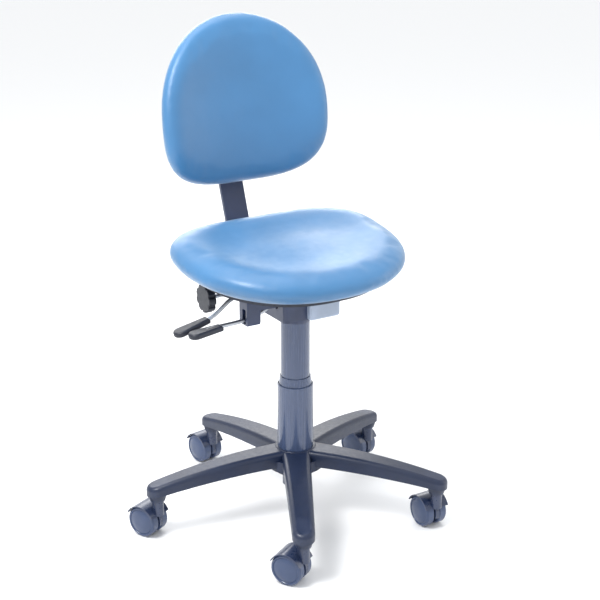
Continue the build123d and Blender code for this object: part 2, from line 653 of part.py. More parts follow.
with BuildPart() as lever_bracket:
    block_near, block_far = BLOCK_Y
    block_bottom, block_top = BLOCK_Z
    with BuildSketch(cross_plane(BLOCK_X[0], middle(BLOCK_Y), middle(BLOCK_Z))):
        RectangleRounded(block_far - block_near, block_top - block_bottom, BLOCK_ROUND)
    extrude(amount=BLOCK_X[1] - BLOCK_X[0])
    fillet(lever_bracket.faces().sort_by(Axis.X)[0].edges(), BLOCK_EDGE)
    strap_height = block_top - BLOCK_ROUND - STRAP_BOTTOM
    half_strap = STRAP_THICKNESS / 2
    for strap_y in (block_near + half_strap, block_far - half_strap):
        with BuildSketch(cross_plane(BLOCK_X[1], strap_y, STRAP_BOTTOM + strap_height / 2)):
            Rectangle(STRAP_THICKNESS, strap_height)
        extrude(amount=-HOUSING_HALF - BLOCK_X[1])
    slot_z, slot_width, slot_length, slot_round = BLOCK_SLOT
    with BuildSketch(cross_plane(BLOCK_X[0], HEIGHT_LEVER_Y, slot_z)):
        RectangleRounded(slot_width, slot_length, slot_round)
    extrude(amount=BLOCK_X[1] - BLOCK_X[0], mode=Mode.SUBTRACT)
    add(pivot_shafts.part, mode=Mode.SUBTRACT)
    add(lever_pins.part, mode=Mode.SUBTRACT)
save(lever_bracket, "lever_bracket")

with BuildPart() as clutch_bolt:
    head_x = HOUSING_HALF + CLUTCH_PLAY
    head_radius, head_thickness = CLUTCH_HEAD
    with BuildSketch(cross_plane(CLUTCH_END, CLUTCH_Y, CLUTCH_Z)):
        Circle(CLUTCH_RADIUS)
    extrude(amount=head_x - CLUTCH_END)
    with BuildSketch(cross_plane(head_x, CLUTCH_Y, CLUTCH_Z)):
        RegularPolygon(head_radius, 6)
    extrude(amount=head_thickness)
save(clutch_bolt, "clutch_bolt")


# ---------------------------------------------------------------- levers
def lever_rod(points, plane_y, eye_centre, eye_radius):
    """A round rod bent through x and z points, with a bored eye at its inner end."""
    eye_x, eye_z = eye_centre
    with BuildPart() as rod:
        with BuildLine() as route:
            Spline(*[(x, plane_y, z) for x, z in points])
        with BuildSketch(Plane(origin=route.wire() @ 0, z_dir=route.wire() % 0)):
            Circle(LEVER_ROD_RADIUS)
        sweep()
        with BuildSketch(fore_plane(eye_x, plane_y - EYE_HALF, eye_z)):
            Circle(eye_radius)
        extrude(amount=2 * EYE_HALF)
    return rod.part


def paddle(centre, plane_y, slope, length):
    """A flattened grip, widest towards its outer end, falling outwards by slope degrees."""
    turn = radians(slope)
    plane = Plane(origin=(centre[0], plane_y - GRIP_FORWARD, centre[1]),
                  x_dir=(cos(turn), 0, sin(turn)), z_dir=(-sin(turn), 0, cos(turn)))
    half = length / 2
    wide = GRIP_WIDTH / 2
    narrow = GRIP_NECK * wide
    with BuildPart() as grip:
        with BuildSketch(plane.offset(-GRIP_DEPTH / 2)):
            with BuildLine():
                Line((half, -narrow), (wide - half, -wide))
                ThreePointArc((wide - half, -wide), (-half, 0), (wide - half, wide))
                Line((wide - half, wide), (half, narrow))
                Line((half, narrow), (half, -narrow))
            make_face()
        extrude(amount=GRIP_DEPTH)
        flats = grip.faces().sort_by(Axis(plane.origin, plane.z_dir))
        fillet(flats[0].edges() + flats[-1].edges(), GRIP_ROUND * GRIP_DEPTH)
    return grip.part


with BuildPart() as height_lever:
    add(lever_rod(HEIGHT_ROD, HEIGHT_LEVER_Y, HEIGHT_PIVOT, HEIGHT_EYE))
    finger_length, finger_width, finger_thickness = VALVE_FINGER
    finger_x = HEIGHT_PIVOT[0] + HEIGHT_EYE / 2 + finger_length / 2 - EYE_HALF / 2
    with Locations((finger_x, HEIGHT_LEVER_Y + EYE_HALF, VALVE_TOP + FINGER_LIFT)):
        Box(finger_length, finger_width, finger_thickness)
    pin_plane = fore_plane(HEIGHT_PIVOT[0], HEIGHT_LEVER_Y - EYE_HALF - PAST, HEIGHT_PIVOT[1])
    with BuildSketch(pin_plane):
        Circle(PIN_RADIUS + PIN_FIT)
    extrude(amount=finger_width + EYE_HALF + PAST, mode=Mode.SUBTRACT)
save(height_lever, "height_lever")

with BuildPart() as height_lever_paddle:
    add(paddle(HEIGHT_GRIP, HEIGHT_LEVER_Y, HEIGHT_SLOPE, HEIGHT_GRIP_LENGTH))
    add(height_lever.part, mode=Mode.SUBTRACT)
save(height_lever_paddle, "height_lever_paddle")

with BuildPart() as tilt_lever:
    add(lever_rod(TILT_ROD, TILT_LEVER_Y, TILT_PIVOT, TILT_EYE))
    with BuildSketch(fore_plane(TILT_PIVOT[0], TILT_LEVER_Y - EYE_HALF - PAST, TILT_PIVOT[1])):
        Circle(PIN_RADIUS + PIN_FIT)
    extrude(amount=2 * (EYE_HALF + PAST), mode=Mode.SUBTRACT)
save(tilt_lever, "tilt_lever")

with BuildPart() as tilt_lever_paddle:
    add(paddle(TILT_GRIP, TILT_LEVER_Y, TILT_SLOPE, TILT_GRIP_LENGTH))
    add(tilt_lever.part, mode=Mode.SUBTRACT)
save(tilt_lever_paddle, "tilt_lever_paddle")

# ---------------------------------------------------------------- seat
with BuildPart() as seat_plate:
    with BuildSketch(Plane.XY.offset(PLATE_BOTTOM)):
        RectangleRounded(*PLATE_SIZE)
        with Locations((0, SCREW_Y), (0, -SCREW_Y)):
            SlotOverall(*PLATE_SLOT_ACROSS, mode=Mode.SUBTRACT)
        with Locations((SCREW_X, 0), (-SCREW_X, 0)):
            SlotOverall(*PLATE_SLOT_ALONG, rotation=90, mode=Mode.SUBTRACT)
        with GridLocations(2 * SCREW_X, 2 * SCREW_Y, 2, 2):
            Circle(SCREW_HOLE, mode=Mode.SUBTRACT)
    extrude(amount=PLATE_TOP - PLATE_BOTTOM)
    pivot_y, pivot_z = SEAT_PIVOT
    lug_z, lug_length, lug_height, lug_round = TAB_CLUTCH
    slot_length, slot_play, slot_shift = TAB_SLOT
    for inner_x in TAB_X:
        with BuildSketch(cross_plane(inner_x, 0, 0)):
            with Locations((pivot_y, pivot_z)):
                Circle(TAB_EYE)
            with Locations((pivot_y, (pivot_z + PLATE_BOTTOM) / 2)):
                Rectangle(2 * TAB_EYE, PLATE_BOTTOM - pivot_z)
            with Locations((CLUTCH_Y, lug_z)):
                RectangleRounded(lug_length, lug_height, lug_round)
            with Locations((pivot_y, pivot_z)):
                Circle(SHAFT_RADIUS + SLIDE_FIT, mode=Mode.SUBTRACT)
            with Locations((CLUTCH_Y, CLUTCH_Z + slot_shift)):
                SlotOverall(slot_length, 2 * (CLUTCH_RADIUS + slot_play), rotation=90,
                            mode=Mode.SUBTRACT)
        extrude(amount=TAB_THICKNESS)
save(seat_plate, "seat_plate")

with BuildPart() as seat_screws:
    head_radius, head_thickness = SCREW_HEAD
    with BuildSketch(Plane.XY.offset(PLATE_BOTTOM - head_thickness)):
        with GridLocations(2 * SCREW_X, 2 * SCREW_Y, 2, 2):
            RegularPolygon(head_radius, 6)
    extrude(amount=head_thickness)
    with BuildSketch(Plane.XY.offset(PLATE_BOTTOM)):
        with GridLocations(2 * SCREW_X, 2 * SCREW_Y, 2, 2):
            Circle(SCREW_RADIUS)
    extrude(amount=SCREW_LENGTH)
save(seat_screws, "seat_screws")

with BuildPart() as seat_board:
    with BuildSketch(Plane.XY.offset(BOARD_BOTTOM)):
        add(outline_face(SEAT_OUTLINE, BOARD_INSET))
    extrude(amount=BOARD_TOP - BOARD_BOTTOM)
    add(seat_screws.part, mode=Mode.SUBTRACT)
save(seat_board, "seat_board")

# The rim's own plane: where the cushion meets the pan, lower at the front.
pitch = radians(SEAT_PITCH)
rim_plane = Plane(origin=(0, 0, RIM_Z), x_dir=(1, 0, 0), z_dir=(0, -sin(pitch), cos(pitch)))

with BuildPart() as seat_pan:
    with BuildSketch(Plane.XY.offset(PLATE_TOP)):
        add(outline_face(SEAT_OUTLINE, PAN_FOOT_INSET))
    with BuildSketch(Plane.XY.offset(PAN_BOWL_TOP)):
        add(outline_face(SEAT_OUTLINE, PAN_BOWL_INSET))
    loft()
    with BuildSketch(rim_plane):
        add(outline_face(SEAT_OUTLINE))
    extrude(amount=RIM_Z, mode=Mode.SUBTRACT)
    with BuildSketch(rim_plane.offset(-RIM_DEPTH)):
        add(outline_face(SEAT_OUTLINE, CUSHION_SECTIONS[0][1]))
    extrude(amount=RIM_DEPTH)
    with BuildSketch(Plane.XY.offset(BOARD_BOTTOM)):
        add(outline_face(SEAT_OUTLINE, BOARD_INSET))
    extrude(amount=RIM_Z, mode=Mode.SUBTRACT)
    with BuildSketch(Plane.XY.offset(PLATE_TOP)):
        with GridLocations(2 * SCREW_X, 2 * SCREW_Y, 2, 2):
            Circle(SCREW_HOLE)
    extrude(amount=BOARD_BOTTOM - PLATE_TOP, mode=Mode.SUBTRACT)
save(seat_pan, "seat_pan")

with BuildPart() as seat_cushion:
    for height, inset in CUSHION_SECTIONS:
        with BuildSketch(rim_plane.offset(height)):
            add(outline_face(SEAT_OUTLINE, inset))
    loft()
    with BuildSketch(Plane.XY.offset(BOARD_TOP)):
        add(outline_face(SEAT_OUTLINE, BOARD_INSET))
    extrude(amount=PLUG_TOP - BOARD_TOP)
    with BuildSketch(Plane.XY.offset(PLATE_TOP)):
        add(outline_face(SEAT_OUTLINE, BOARD_INSET))
    extrude(amount=BOARD_TOP - PLATE_TOP, mode=Mode.SUBTRACT)
save(seat_cushion, "seat_cushion")

# ---------------------------------------------------------------- back bracket and bar
with BuildPart() as depth_stud:
    nut_x, nut_radius, nut_thickness = STUD_NUT
    with BuildSketch(cross_plane(STUD_END, KNOB_Y, BAR_LEG_Z)):
        Circle(STUD_RADIUS)
    extrude(amount=-BAR_WIDTH / 2 - STUD_GAP - STUD_END)
    with BuildSketch(cross_plane(nut_x, KNOB_Y, BAR_LEG_Z)):
        RegularPolygon(nut_radius, 6)
    extrude(amount=nut_thickness)
save(depth_stud, "depth_stud")

with BuildPart() as back_bracket:
    bracket_length = BRACKET_Y[1] - BRACKET_Y[0]
    with BuildSketch(fore_plane(0, BRACKET_Y[0], BAR_LEG_Z)):
        RectangleRounded(2 * BRACKET_HALF, 2 * BRACKET_HALF_HEIGHT, BRACKET_ROUND)
    extrude(amount=bracket_length)
    root_y, root_z, root_length, root_height = EAR_ROOT
    for inner_x in (-BRACKET_HALF, BRACKET_HALF - EAR_THICKNESS):
        with BuildSketch(cross_plane(inner_x, 0, 0)):
            with Locations(BACK_PIVOT):
                Circle(EAR_EYE)
            with Locations((root_y, root_z)):
                Rectangle(root_length, root_height)
        extrude(amount=EAR_THICKNESS)
    with BuildSketch(cross_plane(-BRACKET_HALF - PAST, *BACK_PIVOT)):
        Circle(SHAFT_RADIUS + SLIDE_FIT)
    extrude(amount=2 * (BRACKET_HALF + PAST), mode=Mode.SUBTRACT)
    boss_radius, boss_length = THREAD_BOSS
    with BuildSketch(cross_plane(-BRACKET_HALF - boss_length, KNOB_Y, BAR_LEG_Z)):
        Circle(boss_radius)
    extrude(amount=boss_length + BRACKET_ROUND)
    with BuildSketch(cross_plane(-BRACKET_HALF - boss_length - PAST, KNOB_Y, BAR_LEG_Z)):
        Circle(STUD_RADIUS + SLIDE_FIT)
    extrude(amount=BRACKET_HALF + boss_length + PAST - BAR_WIDTH / 2, mode=Mode.SUBTRACT)
    with BuildSketch(fore_plane(0, BRACKET_Y[0] - PAST, BAR_LEG_Z)):
        Rectangle(BAR_WIDTH + 2 * BAR_FIT, BAR_THICKNESS + 2 * BAR_FIT)
    extrude(amount=bracket_length + 2 * PAST, mode=Mode.SUBTRACT)
save(back_bracket, "back_bracket")


def star_knob(plane, radius, depth, lobes):
    """A round hand knob with finger hollows, its outer face along the plane's normal."""
    neck_share, neck_length = KNOB_NECK
    with BuildPart() as knob:
        with BuildSketch(plane):
            Circle(radius)
            with PolarLocations(radius + LOBE_OUTSIDE, lobes):
                Circle(LOBE_RADIUS, mode=Mode.SUBTRACT)
        extrude(amount=depth)
        outer_face = knob.faces().sort_by(Axis(plane.origin, plane.z_dir))[-1]
        fillet(outer_face.edges(), KNOB_EDGE)
        with BuildSketch(plane):
            Circle(radius * neck_share)
        extrude(amount=-neck_length)
    return knob.part


with BuildPart() as depth_knob:
    add(star_knob(Plane(origin=(KNOB_X, KNOB_Y, BAR_LEG_Z), x_dir=(0, 1, 0), z_dir=(-1, 0, 0)),
                  KNOB_RADIUS, KNOB_DEPTH, KNOB_LOBES))
    add(depth_stud.part, mode=Mode.SUBTRACT)
save(depth_knob, "depth_knob")

lean = tan(radians(RECLINE))
bar_top = (BAR_KNEE[0] + (BAR_END_Z - BAR_KNEE[1]) * lean, BAR_END_Z)
with BuildPart() as back_bar:
    with BuildLine(Plane.YZ) as bar_route:
        FilletPolyline((BAR_FRONT_END, BAR_LEG_Z), (BAR_CORNER_Y, BAR_LEG_Z), BAR_KNEE, bar_top,
                       radius=BAR_BEND_RADIUS)
    with BuildSketch(Plane(origin=bar_route.wire() @ 0, x_dir=(1, 0, 0), z_dir=(0, 1, 0))):
        Rectangle(BAR_WIDTH, BAR_THICKNESS)
    sweep()
    end_edges = back_bar.faces().sort_by(Axis.Z)[-1].edges().sort_by(Axis.X)
    fillet([end_edges[0], end_edges[-1]], BAR_END_ROUND)
save(back_bar, "back_bar")

# The back's own plane: on the bar's mid-plane, X across, Y up the bar, its normal to the sitter.
back_origin = (0, BAR_KNEE[0] + (BACK_CENTRE_Z - BAR_KNEE[1]) * lean, BACK_CENTRE_Z)
back_plane = Plane(origin=back_origin, x_dir=(1, 0, 0),
                   z_dir=(0, -cos(radians(RECLINE)), sin(radians(RECLINE))))


def rear_plane(out):
    """A plane out behind the bar, so that a sketch on it is extruded away from the sitter."""
    return Plane(origin=back_plane.from_local_coords((0, 0, -out)), x_dir=(1, 0, 0),
                 z_dir=-back_plane.z_dir)


with BuildPart() as height_knob:
    stud_start, stud_length = HEIGHT_STUD
    add(star_knob(rear_plane(HEIGHT_KNOB_OUT), *HEIGHT_KNOB))
    with BuildSketch(rear_plane(-stud_start)):
        Circle(STUD_RADIUS)
    extrude(amount=stud_length)
save(height_knob, "height_knob")

with BuildPart() as back_screws:
    screw_radius, screw_length = BACK_SCREW
    head_radius, head_thickness = BACK_SCREW_HEAD
    flange_back = SLIDER_FRONT - FLANGE_DEPTH
    with BuildSketch(back_plane.offset(flange_back - head_thickness)):
        with GridLocations(*BACK_SCREW_GRID, 2, 2):
            Circle(head_radius)
    extrude(amount=head_thickness)
    with BuildSketch(back_plane.offset(flange_back)):
        with GridLocations(*BACK_SCREW_GRID, 2, 2):
            Circle(screw_radius)
    extrude(amount=screw_length)
save(back_screws, "back_screws")

with BuildPart() as back_slider:
    boss_radius, boss_length = SLIDER_BOSS
    with BuildSketch(back_plane.offset(-SLIDER_REAR)):
        RectangleRounded(*SLIDER_SIZE)
    extrude(amount=SLIDER_REAR + SLIDER_FRONT)
    with BuildSketch(back_plane.offset(flange_back)):
        RectangleRounded(*SLIDER_FLANGE)
    extrude(amount=FLANGE_DEPTH)
    with BuildSketch(rear_plane(SLIDER_REAR)):
        Circle(boss_radius)
    extrude(amount=boss_length)
    with BuildSketch(back_plane.offset(-BAR_THICKNESS / 2 - BAR_FIT)):
        Rectangle(BAR_WIDTH + 2 * BAR_FIT, SLIDER_SIZE[1] + 2 * PAST)
    extrude(amount=BAR_THICKNESS + 2 * BAR_FIT, mode=Mode.SUBTRACT)
    with BuildSketch(rear_plane(0)):
        Circle(STUD_RADIUS + SLIDE_FIT)
    extrude(amount=SLIDER_REAR + boss_length + PAST, mode=Mode.SUBTRACT)
    add(back_screws.part, mode=Mode.SUBTRACT)
save(back_slider, "back_slider")


def back_shell(inset, rear, depth):
    """The back outline, drawn in by inset, between two hollow curves rear and rear + depth."""
    curve_axis = SLIDER_FRONT + BACK_CURVE
    shell_depth, half_height = SHELL_REACH
    with BuildPart() as shell:
        with BuildSketch(back_plane):
            add(outline_face(BACK_OUTLINE, inset))
        extrude(amount=shell_depth)
        end = Plane(origin=back_plane.from_local_coords((0, -half_height, curve_axis)),
                    x_dir=(1, 0, 0), z_dir=back_plane.y_dir)
        with BuildSketch(end):
            Circle(curve_axis - rear)
            Circle(curve_axis - rear - depth, mode=Mode.SUBTRACT)
        extrude(amount=2 * half_height, mode=Mode.INTERSECT)
    return shell.part


with BuildPart() as back_board:
    add(back_shell(BOARD_DRAW, SLIDER_FRONT, BACK_BOARD))
    with BuildSketch(back_plane.offset(SLIDER_FRONT)):
        with GridLocations(*BACK_SCREW_GRID, 2, 2):
            Circle(screw_radius)
    extrude(amount=screw_length - FLANGE_DEPTH, mode=Mode.SUBTRACT)
save(back_board, "back_board")

with BuildPart() as back_cushion:
    add(back_shell(0, SLIDER_FRONT + BACK_BOARD, BACK_PAD))
    fillet(back_cushion.edges(), BACK_PAD_ROUND)
save(back_cushion, "back_cushion")
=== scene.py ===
import json
from math import copysign, cos, pi, radians, sin, sqrt

import bpy
import numpy as np
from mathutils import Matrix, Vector


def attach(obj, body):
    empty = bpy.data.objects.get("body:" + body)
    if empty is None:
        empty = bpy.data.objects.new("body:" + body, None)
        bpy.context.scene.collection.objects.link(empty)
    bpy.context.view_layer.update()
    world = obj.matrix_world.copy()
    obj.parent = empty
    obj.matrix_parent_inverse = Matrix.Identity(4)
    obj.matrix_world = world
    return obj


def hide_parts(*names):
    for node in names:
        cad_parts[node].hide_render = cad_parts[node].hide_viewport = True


# A dentist stool. Metres, +Z up, the origin on the floor under the column, the sitter facing -Y.

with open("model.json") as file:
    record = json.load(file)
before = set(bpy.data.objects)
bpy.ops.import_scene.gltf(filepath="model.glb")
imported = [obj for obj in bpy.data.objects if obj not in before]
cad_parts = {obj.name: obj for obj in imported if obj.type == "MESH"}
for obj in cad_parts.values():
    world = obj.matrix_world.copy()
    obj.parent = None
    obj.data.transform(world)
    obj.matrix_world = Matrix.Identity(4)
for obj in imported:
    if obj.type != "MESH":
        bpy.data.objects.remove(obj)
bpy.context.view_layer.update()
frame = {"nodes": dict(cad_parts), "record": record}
nodes = frame["nodes"]
record = frame["record"]
joints = {joint["name"]: joint for joint in record["behaviour"]["joints"]}

OUTLINE_STEPS = 96
SEAT_VOXEL = 0.005
BACK_VOXEL = 0.0045
SMOOTH_REPEATS = 4
# The cloth over the foam: its pressure, the furthest it may swell, how it is held to the board.
SWELL_PRESSURE = 3.0
SWELL_CAP = 0.0022
SETTLE_REPEATS = 9
SWELL_FRAMES = 20
HOLD_DEPTH = 0.012
HOLD_FADE = 0.008


# ---------------------------------------------------------------- materials
def new_material(name, color, roughness, metallic=0.0):
    """A material with its shader, ready for detail."""
    material = bpy.data.materials.new(name)
    material.use_nodes = True
    shader = material.node_tree.nodes["Principled BSDF"]
    shader.inputs["Base Color"].default_value = (*color, 1)
    shader.inputs["Roughness"].default_value = roughness
    shader.inputs["Metallic"].default_value = metallic
    return material, material.node_tree, shader


def place_texture(tree, scale=(1, 1, 1)):
    """Object coordinates, which are metres on every piece here."""
    where = tree.nodes.new("ShaderNodeTexCoord")
    mapping = tree.nodes.new("ShaderNodeMapping")
    mapping.inputs["Scale"].default_value = scale
    tree.links.new(where.outputs["Object"], mapping.inputs["Vector"])
    return mapping.outputs["Vector"]


def noise(tree, vector, scale, detail=3.0, roughness=0.5):
    node = tree.nodes.new("ShaderNodeTexNoise")
    node.inputs["Scale"].default_value = scale
    node.inputs["Detail"].default_value = detail
    node.inputs["Roughness"].default_value = roughness
    tree.links.new(vector, node.inputs["Vector"])
    return node.outputs["Fac"]


def ramp(tree, value, *stops):
    """A colour or grey ramp of (position, colour) stops."""
    node = tree.nodes.new("ShaderNodeValToRGB")
    elements = node.color_ramp.elements
    while len(elements) < len(stops):
        elements.new(0.5)
    for element, (position, color) in zip(elements, stops):
        element.position = position
        element.color = (*color, 1) if len(color) == 3 else color
    tree.links.new(value, node.inputs["Fac"])
    return node.outputs["Color"]


def grey(level):
    return (level, level, level)


def add_bump(tree, shader, height, strength, distance):
    node = tree.nodes.new("ShaderNodeBump")
    node.inputs["Strength"].default_value = strength
    node.inputs["Distance"].default_value = distance
    tree.links.new(height, node.inputs["Height"])
    earlier = shader.inputs["Normal"].links
    if earlier:
        tree.links.new(earlier[0].from_socket, node.inputs["Normal"])
    tree.links.new(node.outputs["Normal"], shader.inputs["Normal"])


def edge_wear(tree):
    """Bright where the surface is convex and sharp, from the geometry's pointiness."""
    geometry = tree.nodes.new("ShaderNodeNewGeometry")
    return geometry.outputs["Pointiness"]


def moulded_plastic(name, color, roughness, grain=0.25, coat=0.0, worn=1.35):
    """Spark-textured moulded plastic with a slightly paler edge."""
    material, tree, shader = new_material(name, color, roughness)
    vector = place_texture(tree)
    patches = noise(tree, vector, 22, 4)
    tone = ramp(tree, patches, (0.3, [c * 0.88 for c in color]), (0.7, [c * 1.14 for c in color]))
    wear = ramp(tree, edge_wear(tree), (0.52, grey(0)), (0.60, grey(1)))
    mix = tree.nodes.new("ShaderNodeMix")
    mix.data_type = "RGBA"
    tree.links.new(wear, mix.inputs[0])
    tree.links.new(tone, mix.inputs[6])
    mix.inputs[7].default_value = (*[min(1, c * worn + 0.01) for c in color], 1)
    tree.links.new(mix.outputs[2], shader.inputs["Base Color"])
    scuffs = noise(tree, vector, 160, 5, 0.62)
    tree.links.new(ramp(tree, scuffs, (0.3, grey(roughness * 0.82)), (0.7, grey(roughness * 1.2))),
                   shader.inputs["Roughness"])
    add_bump(tree, shader, noise(tree, vector, 1500, 2), grain, 0.0003)
    add_bump(tree, shader, noise(tree, vector, 35, 2), 0.06, 0.002)
    shader.inputs["Coat Weight"].default_value = coat
    shader.inputs["Coat Roughness"].default_value = 0.12
    return material


def glossy_cover(name, color):
    """Telescopic cover: smooth blow-moulded plastic, faintly drawn along its length."""
    material, tree, shader = new_material(name, color, 0.26)
    vector = place_texture(tree, (1, 1, 0.02))
    streaks = noise(tree, vector, 420, 3)
    tree.links.new(ramp(tree, streaks, (0.3, [c * 0.9 for c in color]),
                        (0.7, [c * 1.12 for c in color])), shader.inputs["Base Color"])
    tree.links.new(ramp(tree, streaks, (0.25, grey(0.2)), (0.8, grey(0.33))),
                   shader.inputs["Roughness"])
    add_bump(tree, shader, streaks, 0.08, 0.0002)
    shader.inputs["Coat Weight"].default_value = 0.5
    shader.inputs["Coat Roughness"].default_value = 0.08
    return material


def brushed_metal(name, color):
    material, tree, shader = new_material(name, color, 0.32, 1.0)
    fine = noise(tree, place_texture(tree, (0.05, 1, 1)), 900, 4)
    tree.links.new(ramp(tree, fine, (0.3, grey(0.24)), (0.7, grey(0.42))),
                   shader.inputs["Roughness"])
    add_bump(tree, shader, fine, 0.12, 0.0002)
    tarnish = noise(tree, place_texture(tree), 40, 4)
    tree.links.new(ramp(tree, tarnish, (0.35, [c * 0.82 for c in color]), (0.7, color)),
                   shader.inputs["Base Color"])
    return material


def powder_coat(name, color, roughness=0.42):
    """Powder-coated steel with a fine orange-peel skin."""
    material, tree, shader = new_material(name, color, roughness)
    vector = place_texture(tree)
    tone = ramp(tree, noise(tree, vector, 30, 3), (0.3, [c * 0.9 for c in color]),
                (0.7, [min(1, c * 1.1) for c in color]))
    tree.links.new(tone, shader.inputs["Base Color"])
    polish = noise(tree, vector, 70, 4)
    tree.links.new(ramp(tree, polish, (0.3, grey(roughness * 0.85)), (0.7, grey(roughness * 1.15))),
                   shader.inputs["Roughness"])
    add_bump(tree, shader, noise(tree, vector, 650, 2), 0.16, 0.0004)
    shader.inputs["Coat Weight"].default_value = 0.25
    shader.inputs["Coat Roughness"].default_value = 0.2
    return material


def soft_rubber(name, color):
    material, tree, shader = new_material(name, color, 0.75)
    vector = place_texture(tree)
    tree.links.new(ramp(tree, noise(tree, vector, 60, 4), (0.3, [c * 0.8 for c in color]),
                        (0.7, [c * 1.3 for c in color])), shader.inputs["Base Color"])
    add_bump(tree, shader, noise(tree, vector, 900, 2), 0.3, 0.0003)
    return material


def birch_ply(name, color):
    material, tree, shader = new_material(name, color, 0.6)
    layers = noise(tree, place_texture(tree, (2, 2, 90)), 12, 4)
    tree.links.new(ramp(tree, layers, (0.35, [c * 0.55 for c in color]), (0.6, color)),
                   shader.inputs["Base Color"])
    add_bump(tree, shader, layers, 0.3, 0.0004)
    return material


def vinyl(name, color):
    """Upholstery vinyl: embossed leather grain, soft gloss, and gentle unevenness over the foam."""
    material, tree, shader = new_material(name, color, 0.4)
    vector = place_texture(tree)
    clouds = noise(tree, vector, 9, 4)
    tree.links.new(ramp(tree, clouds, (0.3, [c * 0.93 for c in color]),
                        (0.7, [min(1, c * 1.07) for c in color])), shader.inputs["Base Color"])
    cells = tree.nodes.new("ShaderNodeTexVoronoi")
    cells.feature = "DISTANCE_TO_EDGE"
    cells.inputs["Scale"].default_value = 620
    warp = tree.nodes.new("ShaderNodeMix")
    warp.data_type = "VECTOR"
    warp.inputs[0].default_value = 0.0012
    tree.links.new(vector, warp.inputs[4])
    crackle = tree.nodes.new("ShaderNodeTexNoise")
    crackle.inputs["Scale"].default_value = 300
    tree.links.new(vector, crackle.inputs["Vector"])
    tree.links.new(crackle.outputs["Color"], warp.inputs[5])
    tree.links.new(warp.outputs[1], cells.inputs["Vector"])
    creases = ramp(tree, cells.outputs["Distance"], (0.0, grey(0)), (0.16, grey(1)))
    add_bump(tree, shader, creases, 0.32, 0.0003)
    add_bump(tree, shader, noise(tree, vector, 1900, 2), 0.12, 0.0002)
    add_bump(tree, shader, noise(tree, vector, 14, 3), 0.10, 0.004)
    polish = noise(tree, vector, 55, 4, 0.6)
    tree.links.new(ramp(tree, polish, (0.3, grey(0.33)), (0.7, grey(0.47))),
                   shader.inputs["Roughness"])
    shader.inputs["Sheen Weight"].default_value = 0.25
    shader.inputs["Sheen Roughness"].default_value = 0.4
    shader.inputs["Sheen Tint"].default_value = (0.85, 0.93, 1.0, 1)
    shader.inputs["Coat Weight"].default_value = 0.35
    shader.inputs["Coat Roughness"].default_value = 0.28
    return material


materials = {
    "nylon_base": moulded_plastic("base_nylon", (0.008, 0.016, 0.045), 0.36),
    "cover_gloss": glossy_cover("cover_plastic", (0.050, 0.075, 0.150)),
    "steel": brushed_metal("bright_steel", (0.52, 0.55, 0.60)),
    "painted_steel": powder_coat("dark_powder_coat", (0.022, 0.036, 0.090)),
    "bush_plastic": moulded_plastic("bush_acetal", (0.72, 0.72, 0.68), 0.45),
    "rubber": soft_rubber("buffer_rubber", (0.02, 0.02, 0.022)),
    "cast_grey": powder_coat("grey_powder_coat", (0.36, 0.43, 0.55), 0.36),
    "grip_plastic": moulded_plastic("grip_nylon", (0.010, 0.013, 0.024), 0.42),
    "shell_plastic": moulded_plastic("shell_polypropylene", (0.014, 0.018, 0.032), 0.5, 0.4),
    "plywood": birch_ply("birch_plywood", (0.55, 0.38, 0.22)),
    "vinyl_blue": vinyl("blue_vinyl", (0.040, 0.165, 0.350)),
    "caster_plastic": moulded_plastic("caster_nylon", (0.012, 0.022, 0.058), 0.3, 0.15, 0.3),
    "wheel_tread": moulded_plastic("wheel_nylon", (0.030, 0.052, 0.120), 0.34, 0.12, 0.25),
}
for entry in record["subparts"]:
    node = nodes[entry["node"]]
    node.data.materials.clear()
    node.data.materials.append(materials[entry["material_slot"]])


# ---------------------------------------------------------------- upholstery
def superellipse(turn, half_width, near, far, near_power, far_power, narrowing):
    """A point of the rounded outline about its widest line, as part.py draws it."""
    across, along = cos(turn), sin(turn)
    power = far_power if along > 0 else near_power
    y = copysign(abs(along) ** (2 / power), along)
    x = copysign(abs(across) ** (2 / power), across) * (1 - narrowing * max(0.0, -y))
    return half_width * x, (far if along > 0 else near) * y


def closed_pad(name, shape, middle, profile, place):
    """A closed pad: the outline drawn in to each (inset, height) of the profile, ends closed."""
    half_width, near, far, near_power, far_power, narrowing = shape
    points, faces = [], []
    for inset, height in profile:
        for step in range(OUTLINE_STEPS):
            x, y = superellipse(2 * pi * step / OUTLINE_STEPS, half_width - inset, near - inset,
                                far - inset, near_power, far_power, narrowing)
            points.append(place(x, middle + y, height))
    rows = len(profile)
    for row in range(rows - 1):
        for step in range(OUTLINE_STEPS):
            after = (step + 1) % OUTLINE_STEPS
            start, above = row * OUTLINE_STEPS, (row + 1) * OUTLINE_STEPS
            faces.append((start + step, start + after, above + after, above + step))
    for row, flip in ((0, True), (rows - 1, False)):
        points.append(place(0, middle, profile[row][1]))
        pole = len(points) - 1
        for step in range(OUTLINE_STEPS):
            start = row * OUTLINE_STEPS
            edge = (start + step, start + (step + 1) % OUTLINE_STEPS)
            faces.append((edge[1], edge[0], pole) if flip else (edge[0], edge[1], pole))
    mesh = bpy.data.meshes.new(name)
    mesh.from_pydata([Vector(point) for point in points], [], faces)
    pad = bpy.data.objects.new(name, mesh)
    bpy.context.collection.objects.link(pad)
    return pad


def apply_modifiers(piece):
    """Bake the piece's modifiers into its mesh."""
    depsgraph = bpy.context.evaluated_depsgraph_get()
    mesh = bpy.data.meshes.new_from_object(piece.evaluated_get(depsgraph))
    piece.modifiers.clear()
    piece.data = mesh


def coordinates(mesh):
    values = np.empty(len(mesh.vertices) * 3, np.float32)
    mesh.vertices.foreach_get("co", values)
    return values.reshape(-1, 3).astype(float)


def set_coordinates(mesh, values):
    mesh.vertices.foreach_set("co", values.astype(np.float32).ravel())
    mesh.update()


